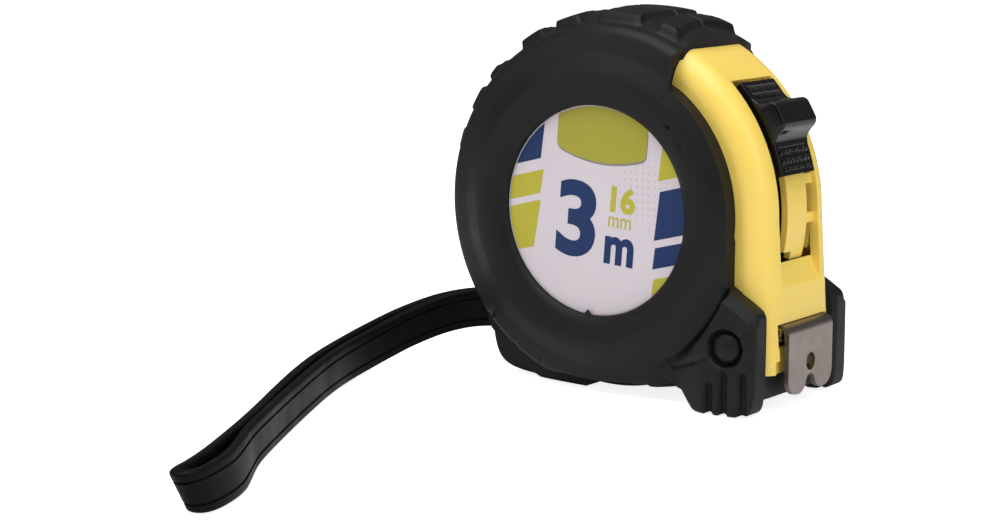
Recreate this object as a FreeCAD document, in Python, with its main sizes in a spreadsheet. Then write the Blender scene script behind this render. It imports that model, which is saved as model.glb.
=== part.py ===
"""Pocket tape measure: two moulded half shells with a rubber overmould, a sprung reel of
steel blade, a sliding blade lock, an end hook that floats on its rivets, and a wrist strap.

Frame: +X towards the mouth and hook, +Y to the right-hand side, +Z up, millimetres. The
origin is on the floor under the reel's axis, which is the middle of the case.
"""
import FreeCAD
import Part
import math
import os
import Sketcher

doc = FreeCAD.newDocument("TapeMeasure")
sheet = doc.addObject("Spreadsheet::Sheet", "Sizes")
nodes = []

# ------------------------------------------------------------------ driving dimensions
SIZES = [
    # case
    ("crown_radius", 35.4, "outside of the rubber over the crown, from the reel's axis"),
    ("crown_rubber", 2.2, "rubber over the crown"),
    ("flat_depth", 4.1, "how much of the round crown the flat tread cuts off below"),
    ("tread_gap", 2.5, "floor to the flat tread"),
    ("wall", 1.8, "moulded wall of the shells"),
    ("side_room", 2.3, "blade's edge to the shell's wall"),
    ("shell_round", 4.5, "rounding along the shell's sides"),
    ("nose_reach", 1.8, "how far the chin stands in front of the crown"),
    ("chin_height", 7.0, "floor to the chin"),
    ("disc_radius", 20.2, "raised disc under each label"),
    ("disc_rise", 2.3, "how far that disc stands off the side"),
    ("label_radius", 19.0, "label"),
    ("label_thick", 0.3, "label"),
    # rubber
    ("ring_rise", 4.7, "side of the shell to the flat face of the ring"),
    ("ring_flat", 5.2, "width of the ring's flat face"),
    ("ring_lip", 1.5, "sloped lip round the label"),
    ("ring_edge", 27.2, "radius of the ring's edge over the front"),
    ("crown_end", 15.6, "where the rubber on the crown ends"),
    ("foot_rise", 5.3, "side of the shell to the face of a foot"),
    ("foot_back", 17.3, "rear of the feet"),
    ("foot_top", 18.8, "top of the feet at their front"),
    ("heel_half", 8.0, "half the width of the heel"),
    ("lug_rise", 0.8, "tread lugs"),
    # blade and reel
    ("blade_width", 16.0, "blade"),
    ("blade_thick", 0.13, "blade with its paint"),
    ("blade_length", 3000.0, "blade"),
    ("blade_camber", 1.6, "rise of the blade's edges over its middle"),
    ("blade_tail", 20.0, "straight blade behind the reel's axis"),
    ("drum_radius", 15.0, "drum that the blade winds on"),
    ("drum_wall", 1.2, "drum"),
    ("post_radius", 3.0, "fixed post that the drum turns on"),
    ("running_gap", 0.06, "radial clearance of the drum on the post"),
    ("spring_wide", 12.0, "power spring"),
    ("spring_thick", 0.25, "power spring"),
    ("spring_turns", 8.0, "power spring"),
    ("coil_gap", 0.15, "coil to the straight blade"),
    # hook
    ("hook_thick", 0.9, "hook, which is also how far it floats"),
    ("hook_drop", 10.2, "blade to the hook's lower end"),
    ("hook_bend", 2.0, "outside of the hook's bend"),
    ("hook_flange", 7.0, "hook under the blade, from the back of its claw"),
    ("hook_gap", 0.3, "hook to the chin at rest"),
    ("rivet_radius", 0.8, "rivets"),
    ("rivet_half", 2.4, "rivets, from the middle"),
    ("rivet_gap", 0.1, "rivet to the hook's slots"),
    # lock
    ("channel_half", 7.0, "half the width of the lock's channel"),
    ("button_half", 6.0, "half the width of the lock button"),
    ("button_rise", 0.8, "button's ends over the crown"),
    ("ridge_rise", 4.3, "button's ridge over the crown"),
    ("tongue_inset", 0.8, "guide tongue under the crown"),
    ("tongue_thick", 1.2, "guide tongue"),
    ("lock_gap", 0.5, "lock's sliding clearance round the guide tongue"),
    ("leaf_thick", 1.4, "brake leaf"),
    ("leaf_half", 4.0, "half the width of the brake leaf"),
    ("lock_travel", 15.0, "degrees that the lock slides round the crown"),
    # fastenings
    ("screw_radius", 1.2, "case screws"),
    ("head_radius", 1.9, "case screws"),
    ("head_thick", 1.5, "case screws"),
    ("boss_wall", 1.1, "screw bosses"),
    ("boss_gap", 2.2, "wound blade to the upper screws' bosses"),
    # strap
    ("strap_wide", 7.2, "strap"),
    ("strap_thick", 1.7, "strap"),
    ("strap_height", 11.0, "middle of the strap where it leaves the heel"),
    ("pin_radius", 1.0, "pin that holds the strap"),
    ("pin_end", 1.3, "how far that pin stands out of the strap at each end"),
    ("eye_inset", 10.2, "that pin, from the back of the shell"),
]
for row, (alias, number, note) in enumerate(SIZES, start=1):
    sheet.set(f"A{row}", alias)
    sheet.set(f"B{row}", str(number))
    sheet.set(f"C{row}", note)
    sheet.setAlias(f"B{row}", alias)
doc.recompute()


# ------------------------------------------------------------------ sizes with their rules
class Size:
    """A number together with the expression on the sheet that gives it."""

    def __init__(self, number, rule):
        self.number = number
        self.rule = rule

    def join(self, other, sign, number):
        return Size(number, f"({self.rule} {sign} {other.rule})")

    def __add__(self, other):
        other = plain(other)
        return self.join(other, "+", self.number + other.number)

    def __sub__(self, other):
        other = plain(other)
        return self.join(other, "-", self.number - other.number)

    def __mul__(self, other):
        other = plain(other)
        return self.join(other, "*", self.number * other.number)

    def __truediv__(self, other):
        other = plain(other)
        return self.join(other, "/", self.number / other.number)

    def __neg__(self):
        return Size(-self.number, f"(-1 * {self.rule})")

    def __radd__(self, other):
        return plain(other) + self

    def __rsub__(self, other):
        return plain(other) - self

    def __rmul__(self, other):
        return plain(other) * self


def plain(value):
    """A bare number as a Size."""
    return value if isinstance(value, Size) else Size(float(value), repr(float(value)))


def size(alias):
    """A driving dimension from the sheet."""
    return Size(float(sheet.get(alias)), f"Sizes.{alias}")


def root(value):
    """The square root of a Size."""
    return Size(math.sqrt(value.number), f"sqrt({value.rule})")


def on_circle(radius, degrees):
    """The point (x, z) at that radius and angle round the reel's axis, from +X towards +Z."""
    radius = plain(radius)
    degrees = plain(degrees)
    turn = math.radians(degrees.number)
    across = Size(radius.number * math.cos(turn), f"({radius.rule} * cos({degrees.rule} * 1 deg))")
    up = Size(radius.number * math.sin(turn), f"({radius.rule} * sin({degrees.rule} * 1 deg))")
    return across, HUB + up


WALL = size("wall")
SHELL_RADIUS = size("crown_radius") - size("crown_rubber")
HUB = size("crown_radius") - size("flat_depth") + size("tread_gap")
SHELL_HALF = size("blade_width") / 2 + size("side_room") + WALL
SHELL_FLAT = size("tread_gap") + size("wall")
DISC_FACE = SHELL_HALF + size("disc_rise")
RING_FACE = SHELL_HALF + size("ring_rise")
NOSE = SHELL_RADIUS + size("nose_reach")
COIL_RADIUS = root(
    size("drum_radius") * size("drum_radius")
    + size("blade_length") * size("blade_thick") / math.pi
)
BLADE_LOW = HUB - COIL_RADIUS - size("coil_gap") - size("blade_camber") - size("blade_thick")
HOOK_BACK = NOSE + size("hook_gap")
TONGUE_OUT = SHELL_RADIUS - size("tongue_inset")
TONGUE_IN = TONGUE_OUT - size("tongue_thick")
LEAF_OUT = TONGUE_IN - size("lock_gap")
LEAF_IN = LEAF_OUT - size("leaf_thick")
EYE_PIN = -(SHELL_RADIUS - size("eye_inset"))
STRAP_HALF = size("strap_wide") / 2
PIN_LOW = size("strap_height") - STRAP_HALF - size("pin_end")
PIN_LENGTH = (STRAP_HALF + size("pin_end")) * 2


# ------------------------------------------------------------------ building blocks
X_WAY = FreeCAD.Vector(1, 0, 0)
Y_WAY = FreeCAD.Vector(0, 1, 0)
Z_WAY = FreeCAD.Vector(0, 0, 1)
ALONG_Y = FreeCAD.Rotation(X_WAY, -90)
UPRIGHT = FreeCAD.Rotation(X_WAY, 90)
FLAT = FreeCAD.Rotation()
ACROSS = FreeCAD.Rotation(FreeCAD.Vector(1, 1, 1), 120)


def bind(thing, rules):
    """Ties properties of an object to the sheet."""
    for name, value in rules.items():
        thing.setExpression(name, plain(value).rule)
    return thing


def turned(thing, rotation):
    thing.Placement = FreeCAD.Placement(FreeCAD.Vector(), rotation)
    return thing


def at(x, y, z):
    return {"Placement.Base.x": x, "Placement.Base.y": y, "Placement.Base.z": z}


def rod_y(name, radius, start, length, x=0, z=None):
    """A cylinder along +Y, on the reel's axis unless x and z say where."""
    rod = turned(doc.addObject("Part::Cylinder", name), ALONG_Y)
    z = HUB if z is None else z
    return bind(rod, {"Radius": radius, "Height": length, **at(x, start, z)})


def rod_z(name, radius, x, y, start, length):
    """A cylinder along +Z."""
    rod = doc.addObject("Part::Cylinder", name)
    return bind(rod, {"Radius": radius, "Height": length, **at(x, y, start)})


def block(name, low, high):
    """A box between two corners."""
    box = doc.addObject("Part::Box", name)
    long, wide, tall = (plain(b) - a for a, b in zip(low, high))
    return bind(box, {"Length": long, "Width": wide, "Height": tall, **at(*low)})


def draw(sketch, path):
    """Closes lines and arcs through the path's points: ("by", x, y) bends the edge there."""
    corners = [point for point in path if point[0] != "by"]
    corners = [(plain(x), plain(y)) for x, y in corners]
    bends = {}
    count = -1
    for point in path:
        if point[0] == "by":
            bends[count] = (plain(point[1]), plain(point[2]))
        else:
            count += 1
    ends = []
    for i, (x, y) in enumerate(corners):
        next_x, next_y = corners[(i + 1) % len(corners)]
        start = FreeCAD.Vector(x.number, y.number, 0)
        stop = FreeCAD.Vector(next_x.number, next_y.number, 0)
        if i not in bends:
            edge = sketch.addGeometry(Part.LineSegment(start, stop), False)
            ends.append((edge, 1, 2))
            continue
        by_x, by_y = bends[i]
        middle = FreeCAD.Vector(by_x.number, by_y.number, 0)
        edge = sketch.addGeometry(Part.Arc(start, middle, stop), False)
        mark = sketch.addGeometry(Part.Point(middle), True)
        left_turn = (middle - start).cross(stop - middle).z > 0
        ends.append((edge, 1, 2) if left_turn else (edge, 2, 1))
        sketch.addConstraint(Sketcher.Constraint("PointOnObject", mark, 1, edge))
        pin_point(sketch, mark, 1, by_x, by_y)
    for i, (edge, first, last) in enumerate(ends):
        next_edge, next_first, _ = ends[(i + 1) % len(ends)]
        join = Sketcher.Constraint("Coincident", edge, last, next_edge, next_first)
        sketch.addConstraint(join)
        pin_point(sketch, edge, first, *corners[i])
    return sketch


def pin_point(sketch, edge, end, x, y):
    """Holds a sketch point at two distances from the sketch's origin."""
    for kind, value in (("DistanceX", x), ("DistanceY", y)):
        rule = Sketcher.Constraint(kind, -1, 1, edge, end, value.number)
        place = sketch.addConstraint(rule)
        sketch.setExpression(f"Constraints[{place}]", value.rule)


def outline(name, path, rotation, offset):
    """A sketch in one of the upright planes or the floor plane, moved by offset."""
    sketch = turned(doc.addObject("Sketcher::SketchObject", f"{name}_outline"), rotation)
    bind(sketch, offset)
    return draw(sketch, path)


def extrude(name, sketch, way, length):
    solid = doc.addObject("Part::Extrusion", name)
    solid.Base = sketch
    solid.DirMode = "Custom"
    solid.Dir = way
    solid.Solid = True
    return bind(solid, {"LengthFwd": length})


def slab_y(name, path, start, length):
    """An (x, z) outline pushed along +Y."""
    sketch = outline(name, path, UPRIGHT, {"Placement.Base.y": start})
    return extrude(name, sketch, Y_WAY, length)


def slab_x(name, path, start, length):
    """A (y, z) outline pushed along +X."""
    sketch = outline(name, path, ACROSS, {"Placement.Base.x": start})
    return extrude(name, sketch, X_WAY, length)


def lathe(name, path):
    """An (r, y) outline turned round the reel's axis."""
    sketch = outline(name, path, FLAT, {"Placement.Base.z": HUB})
    solid = doc.addObject("Part::Revolution", name)
    solid.Source = sketch
    solid.Axis = Y_WAY
    solid.Solid = True
    solid.Angle = 360
    return bind(solid, {"Base.z": HUB})


def fuse(name, *parts):
    joined = doc.addObject("Part::MultiFuse", name)
    joined.Shapes = list(parts)
    joined.Refine = True
    return joined


def common(name, *parts):
    shared = doc.addObject("Part::MultiCommon", name)
    shared.Shapes = list(parts)
    return shared


def cut(name, base, *tools):
    """base without the tools."""
    result = doc.addObject("Part::Cut", name)
    result.Base = base
    result.Tool = tools[0] if len(tools) == 1 else fuse(f"{name}_tools", *tools)
    result.Refine = True
    return result


def mirrored(name, source):
    """The other side's copy, across the middle plane."""
    copy = doc.addObject("Part::Mirroring", name)
    copy.Source = source
    copy.Normal = Y_WAY
    return copy


def together(name, *parts):
    """Separate solids that make one node."""
    group = doc.addObject("Part::Compound", name)
    group.Links = list(parts)
    return group


def node(label, thing):
    """Names a finished sub-part."""
    thing.Label = label
    nodes.append(thing)
    return thing


def ring_sector(name, inner, outer, low, high, start, length):
    """Part of a ring round the reel's axis, between two angles."""
    path = [
        on_circle(inner, low),
        on_circle(outer, low),
        ("by", *on_circle(outer, (plain(low) + high) / 2)),
        on_circle(outer, high),
        on_circle(inner, high),
        ("by", *on_circle(inner, (plain(low) + high) / 2)),
    ]
    return slab_y(name, path, start, length)


# ------------------------------------------------------------------ shells
def shell_solid(name, inset):
    """The right-hand half of the case's envelope, or of its hollow when inset is the wall."""
    radius = SHELL_RADIUS - inset
    half = SHELL_HALF - inset
    bend = size("shell_round") - inset
    low = SHELL_FLAT + inset
    corner = 1 - math.sqrt(0.5)

    def rounded(front):
        return [
            (0, 0),
            (front, 0),
            (front, half - bend),
            ("by", front - bend * corner, half - bend * corner),
            (front - bend, half),
            (0, half),
        ]

    round_part = lathe(f"{name}_round", rounded(radius))
    below = block(f"{name}_below", (-radius - 1, -1, -5), (radius + 1, half + 1, low))
    top = outline(f"{name}_nose_top", rounded(radius), FLAT, {"Placement.Base.z": HUB})
    chin = size("chin_height") + inset
    foot = outline(f"{name}_chin", rounded(NOSE - inset), FLAT, {"Placement.Base.z": chin})
    nose = doc.addObject("Part::Loft", f"{name}_nose")
    nose.Sections = [foot, top]
    nose.Solid = True
    nose.Ruled = True
    heel_path = [
        (-10, low),
        (inset - SHELL_RADIUS + 8.8, low),
        (inset - SHELL_RADIUS + 6.6, low + 4.2),
        (inset - SHELL_RADIUS + 5.8, low + 11.2 - inset * 2),
        (-18, low + 17.7 - inset * 2),
    ]
    heel = slab_y(f"{name}_heel", heel_path, 0, size("heel_half") - 2 - inset)
    return fuse(name, cut(f"{name}_flat", round_part, below), nose, heel)


CHANNEL_TOP = 46
LEDGE = HUB - 6.3
BOSS = size("screw_radius") + size("boss_wall")
BOSS_CIRCLE = COIL_RADIUS + size("boss_gap") + BOSS
SCREWS = [on_circle(BOSS_CIRCLE, degrees) for degrees in (60, 140, 200)]
SCREWS.append((plain(7), SHELL_FLAT + WALL + BOSS - 0.2))
CHIN = size("chin_height")
MOUTH_HALF = size("blade_width") / 2 + 0.7
STRAP_SLOT = size("strap_thick") + 0.8


def channel(name):
    """What the lock's channel takes out of the right half, down to its sloping ledge."""
    ramp_x = NOSE + 1.2
    ramp_z = HUB - 16.3
    tall = on_circle(SHELL_RADIUS + 6, CHANNEL_TOP)
    path = [
        on_circle(SHELL_RADIUS - 4, CHANNEL_TOP),
        tall,
        (NOSE + 10, tall[1]),
        (NOSE + 10, ramp_z),
        (ramp_x, ramp_z),
        (SHELL_RADIUS - WALL - 0.2, LEDGE),
        (SHELL_RADIUS - 5, LEDGE),
    ]
    return slab_y(name, path, 0, size("channel_half"))


def strap_slot(name):
    """The way out for both layers of the strap, through the back of the heel."""
    high = STRAP_HALF + 0.3
    low = size("strap_height") - high
    return block(name, (-45, -STRAP_SLOT, low), (EYE_PIN, STRAP_SLOT, low + high * 2))


def half_shell():
    """The right half as far as both halves are alike: walls, disc, rails, bosses, sockets."""
    envelope = shell_solid("envelope", plain(0))
    hollow = shell_solid("hollow", WALL)
    disc = rod_y("disc", size("disc_radius"), SHELL_HALF - WALL, size("disc_rise") + WALL)
    disc_hollow = rod_y(
        "disc_hollow", size("disc_radius") - WALL, SHELL_HALF - WALL - 1, size("disc_rise") + 1
    )
    mouth = block(
        "mouth",
        (SHELL_RADIUS - 5, 0, BLADE_LOW - 1.75),
        (NOSE + 2, MOUTH_HALF, BLADE_LOW + 2.55),
    )
    hook_bay = block(
        "hook_bay", (NOSE - 1.1, 0, 0), (NOSE + 2, MOUTH_HALF - 0.2, BLADE_LOW)
    )
    chin_bay = block(
        "chin_bay", (NOSE - 1.1, 0, 0), (NOSE + 2, MOUTH_HALF + 0.8, CHIN + 2.4)
    )
    walls = cut("walls", fuse("case_body", envelope, disc), hollow, disc_hollow)
    openings = (channel("channel"), mouth, hook_bay, chin_bay, strap_slot("slot"))
    opened = cut("opened", walls, *openings)
    inside = SHELL_HALF - WALL + 0.2
    bosses = [rod_y(f"boss_{i}", BOSS, 0, inside, *spot) for i, spot in enumerate(SCREWS)]
    rail = ring_sector(
        "rail", LEAF_IN - 1, SHELL_RADIUS - WALL + 0.3, -12, 52, size("channel_half"), 1.2
    )
    socket = rod_y("socket", size("post_radius") + 1.6, DISC_FACE - WALL - 2, 2.1)
    grip = STRAP_HALF + 0.15
    rib_low = (EYE_PIN - 1.6, 0, SHELL_FLAT + WALL - 0.1)
    lower_rib = block(
        "lower_rib", rib_low, (EYE_PIN + 2.4, 4.4, size("strap_height") - grip)
    )
    rib_low = (EYE_PIN - 6, 0, size("strap_height") + grip)
    upper_rib = block("upper_rib", rib_low, (EYE_PIN + 2.4, 4.4, rib_low[2] + 1.6))
    strap_ribs = common("strap_ribs", fuse("rib_blanks", lower_rib, upper_rib), envelope)
    seat = rod_y("seat", size("post_radius"), 0, DISC_FACE - WALL)
    pin_seat = rod_z("pin_seat", size("pin_radius"), EYE_PIN, 0, PIN_LOW, PIN_LENGTH)
    ribbed = fuse("ribbed", opened, rail, socket, strap_ribs, *bosses)
    return envelope, disc, cut("half_shell", ribbed, seat, pin_seat)


envelope, disc, half = half_shell()

screw_ways = [
    rod_y(f"screw_way_{i}", size("screw_radius") + 0.2, -1, SHELL_HALF + 2, *spot)
    for i, spot in enumerate(SCREWS)
]
tongue = ring_sector("tongue", TONGUE_IN, TONGUE_OUT, -11.2, CHANNEL_TOP - 0.2, -2.5, 7)
tongue_top = ring_sector("tongue_top", TONGUE_IN, TONGUE_OUT + 0.2, 45, 49, 0.05, 4.4)
tongue_foot = ring_sector("tongue_foot", TONGUE_IN, TONGUE_OUT, -14, -11, 0.05, 4.4)
ribs = [
    ring_sector(f"tongue_rib_{low}", TONGUE_IN, TONGUE_OUT, low, low + 3.2, 4.4, 2.7)
    for low in (-3, 9.4, 22)
]
right = cut("right_walls", half, *screw_ways)
node("shell_right", fuse("shell_right", right, tongue, tongue_top, tongue_foot, *ribs))

screw_holes = [
    rod_y(f"screw_hole_{i}", size("screw_radius"), -1, SHELL_HALF - WALL, *spot)
    for i, spot in enumerate(SCREWS)
]
node("shell_left", mirrored("shell_left", cut("left_walls", half, *screw_holes)))


# ------------------------------------------------------------------ rubber overmould
def ring_and_crown():
    """The turned rubber: lip, flat ring, two bevels and the domed crown."""
    lip = size("label_radius") + 0.1
    flat = lip + size("ring_lip")
    crown = size("crown_radius")
    path = [
        (lip, DISC_FACE),
        (lip, RING_FACE - size("ring_lip")),
        (flat, RING_FACE),
        (flat + size("ring_flat"), RING_FACE),
        (crown - 7, RING_FACE - 2),
        (crown - 4.8, RING_FACE - 3.6),
        (crown - 3.2, RING_FACE - 5.2),
        ("by", crown - 0.8, (RING_FACE - 5.2) / 2),
        (crown, 0),
        (lip, 0),
    ]
    turned_rubber = lathe("turned_rubber", path)
    below = block("tread_below", (-50, -1, -5), (50, 30, size("tread_gap")))
    return cut("flat_tread", turned_rubber, below)


FOOT_TOP = size("foot_top")
FOOT_BACK = size("foot_back")
RING_EDGE = size("ring_edge")
DIAGONAL = [
    (NOSE - 1.5, FOOT_TOP),
    (NOSE - 4.3, FOOT_TOP + 1.6),
    (RING_EDGE + 1.1, FOOT_TOP + 3.2),
]


def front_opening():
    """The part of the rubber left away over the yellow nose: outside the ring's edge."""
    path = [
        (size("crown_end"), HUB + 45),
        (NOSE + 20, HUB + 45),
        (NOSE + 20, FOOT_TOP),
        *DIAGONAL,
        (RING_EDGE + 0.2, FOOT_TOP + 4.7),
        (RING_EDGE + 0.2, HUB - 3.3),
        (RING_EDGE - 6, HUB),
        (size("crown_end"), HUB + 12),
    ]
    window = slab_y("front_window", path, -1, 30)
    return cut("front_opening", window, rod_y("ring_edge", RING_EDGE, -2, 40))


def foot():
    """The front foot: a block on the side of the nose with its outer edges rounded."""
    path = [
        (FOOT_BACK - 2.7, HUB - 26.5),
        (FOOT_BACK, 2.9),
        (FOOT_BACK + 3.2, 0),
        (NOSE - 2, 0),
        (NOSE - 0.5, 1.6),
        (NOSE - 0.5, FOOT_TOP - 0.5),
        *DIAGONAL,
    ]
    return slab_y("foot", path, SHELL_HALF - 0.6, size("foot_rise") + 0.6)


def heel():
    """The rear foot under the strap."""
    crown = size("crown_radius")
    path = [
        (-10, 8),
        (-12, 0.6),
        (-14, 0),
        (10.9 - crown, 0),
        (9 - crown, 4.1),
        (7.8 - crown, 7.9),
        (7 - crown, 14),
        (7 - crown, 20),
    ]
    return slab_y("heel", path, 0, size("heel_half"))


LUGS = [(64, 73), (77, 91), (105, 114), (119, 128), (138, 149), (163, 171), (176, 190)]


def armour_half():
    ring = cut("ring", ring_and_crown(), front_opening())
    crown = size("crown_radius")
    lugs = [
        ring_sector(f"lug_{low}", crown - 2, crown + size("lug_rise"), low, high, 0, 8)
        for low, high in LUGS
    ]
    pad = block(
        "chin_pad",
        (FOOT_BACK, 0, size("chin_height") - 3.8),
        (NOSE - 1.5, SHELL_HALF, size("chin_height") + 1),
    )
    whole = fuse("rubber", ring, foot(), heel(), pad, *lugs)
    return cut("armour_half", whole, envelope, disc, strap_slot("rubber_slot"))


armour = armour_half()
head_ways = [
    rod_y(f"head_way_{i}", size("head_radius") + 0.3, SHELL_HALF - 2, 10, *spot)
    for i, spot in enumerate(SCREWS)
]
node("armour_right", cut("armour_right", armour, *head_ways))
node("armour_left", mirrored("armour_left", armour))

label = rod_y("label_right", size("label_radius"), DISC_FACE, size("label_thick"))
node("label_right", label)
node("label_left", mirrored("label_left", label))


# ------------------------------------------------------------------ screws
def screw(i, x, z):
    """A pan-head screw driven from the right into the left half's boss."""
    length = SHELL_HALF * 2 - WALL - 1.5
    shank = rod_y(f"shank_{i}", size("screw_radius"), SHELL_HALF - length, length, x, z)
    head = rod_y(f"head_{i}", size("head_radius"), SHELL_HALF, size("head_thick"), x, z)
    drive = []
    for way, (wide, tall) in enumerate(((1.3, 0.3), (0.3, 1.3))):
        top = SHELL_HALF + size("head_thick")
        low = (x - wide, top - 0.8, z - tall)
        drive.append(block(f"drive_{i}_{way}", low, (x + wide, top + 0.1, z + tall)))
    return cut(f"screw_{i}", fuse(f"screw_blank_{i}", shank, head), *drive)


screws = [screw(i, *spot) for i, spot in enumerate(SCREWS)]
node("case_screws", together("case_screws", *screws))


# ------------------------------------------------------------------ reel
SPRING_HALF = size("spring_wide") / 2
POST_HALF = DISC_FACE - WALL
DRUM = size("drum_radius")
DRUM_IN = DRUM - size("drum_wall")
DRUM_HALF = size("blade_width") / 2 + 0.3
BORE = size("post_radius") + size("running_gap")

post = rod_y("post_rod", size("post_radius"), -POST_HALF, POST_HALF * 2)
slit = size("spring_thick") / 2 + 0.1
spring_slit = block(
    "spring_slit",
    (-size("post_radius") - 1, -SPRING_HALF - 0.5, HUB - slit),
    (0.4, SPRING_HALF + 0.5, HUB + slit),
)
node("centre_post", cut("centre_post", post, spring_slit))

cup = lathe(
    "cup",
    [
        (BORE, -DRUM_HALF),
        (DRUM, -DRUM_HALF),
        (DRUM, DRUM_HALF),
        (DRUM_IN, DRUM_HALF),
        (DRUM_IN, size("drum_wall") - DRUM_HALF),
        (BORE, size("drum_wall") - DRUM_HALF),
    ],
)
link_slot = block("link_slot", (DRUM_IN - 1, -4.5, HUB - 1), (DRUM + 1, 4.5, HUB + 1))
node("drum", cut("drum", cup, link_slot))

lid = rod_y("lid", DRUM_IN - 0.05, DRUM_HALF - size("drum_wall"), size("drum_wall"))
lid_bore = rod_y("lid_bore", BORE, DRUM_HALF - 3, 4)
node("drum_cover", cut("drum_cover", lid, lid_bore))

wound = rod_y("wound", COIL_RADIUS, -size("blade_width") / 2, size("blade_width"))
wound_bore = rod_y("wound_bore", DRUM, -size("blade_width"), size("blade_width") * 2)
node("blade_coil", cut("blade_coil", wound, wound_bore))
node("spring_link", block("spring_link", (DRUM_IN, -4.3, HUB - 0.9), (DRUM - 0.1, 4.3, HUB + 0.9)))


def spiral_wire(inner, step, arcs, height):
    """Half circles end to end, each one step wider than the last, in the plane of the reel."""
    ends = []
    for k in range(arcs + 1):
        reach = inner + k * step
        ends.append(FreeCAD.Vector(-reach if k % 2 == 0 else reach, 0, height))
    edges = []
    for k, (start, stop) in enumerate(zip(ends, ends[1:])):
        middle = (start + stop) * 0.5
        rise = stop.sub(start).Length / 2
        middle.z += rise if k % 2 == 0 else -rise
        edges.append(Part.Arc(start, middle, stop).toShape())
    return edges, ends[0], ends[-1]


def power_spring():
    """The steel strip wound between the post and the drum, with a tab in the post's slit."""
    thick = size("spring_thick").number
    arcs = int(round(size("spring_turns").number * 2))
    inner = size("post_radius").number + 0.6
    step = (DRUM_IN.number - 0.5 - thick - inner) / arcs
    height = HUB.number
    inside, in_start, in_stop = spiral_wire(inner, step, arcs, height)
    outside, out_start, out_stop = spiral_wire(inner + thick, step, arcs, height)
    ends = [Part.makeLine(in_stop, out_stop), Part.makeLine(out_start, in_start)]
    edges = Part.sortEdges(inside + outside + ends)[0]
    face = Part.Face(Part.Wire(edges))
    wide = size("spring_wide").number
    strip = face.extrude(FreeCAD.Vector(0, wide, 0))
    strip.translate(FreeCAD.Vector(0, -wide / 2, 0))
    tab_low = FreeCAD.Vector(-inner - thick, -wide / 2, height - thick / 2)
    tab = Part.makeBox(inner + thick, wide, thick, tab_low)
    spring = doc.addObject("Part::Feature", "power_spring")
    spring.Shape = strip.fuse(tab)
    return spring


node("power_spring", power_spring())


# ------------------------------------------------------------------ blade and hook
RIVET_X = HOOK_BACK - 4
RIVET_Y = size("rivet_half")
RIVET = size("rivet_radius")
FLANGE_TOP = BLADE_LOW - 0.05
FLANGE_LOW = FLANGE_TOP - size("hook_thick")


def both_sides(name, radius, start, length):
    """Two upright cylinders where the rivets are."""
    near = rod_z(f"{name}_near", radius, RIVET_X, -RIVET_Y, start, length)
    far = rod_z(f"{name}_far", radius, RIVET_X, RIVET_Y, start, length)
    return near, far


def blade_strip():
    """The straight blade: a strip whose edges rise over its middle."""
    half_wide = size("blade_width") / 2
    edge = BLADE_LOW + size("blade_camber")
    thick = size("blade_thick")
    path = [
        (-half_wide, edge),
        ("by", 0, BLADE_LOW),
        (half_wide, edge),
        (half_wide, edge + thick),
        ("by", 0, BLADE_LOW + thick),
        (-half_wide, edge + thick),
    ]
    strip = slab_x("strip", path, -size("blade_tail"), size("blade_tail") + HOOK_BACK - 0.05)
    return cut("blade_strip", strip, *both_sides("rivet_hole", RIVET, BLADE_LOW - 2, 5))


def rivets():
    low = FLANGE_LOW - 0.55
    shanks = both_sides("rivet", RIVET, low, BLADE_LOW + 0.95 - low)
    lower = both_sides("rivet_foot", RIVET + 0.7, low, 0.5)
    upper = both_sides("rivet_head", RIVET + 0.7, BLADE_LOW + 0.53, 0.42)
    made = [fuse(f"rivet_{i}", *trio) for i, trio in enumerate(zip(shanks, lower, upper))]
    return together("hook_rivets", *made)


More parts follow.
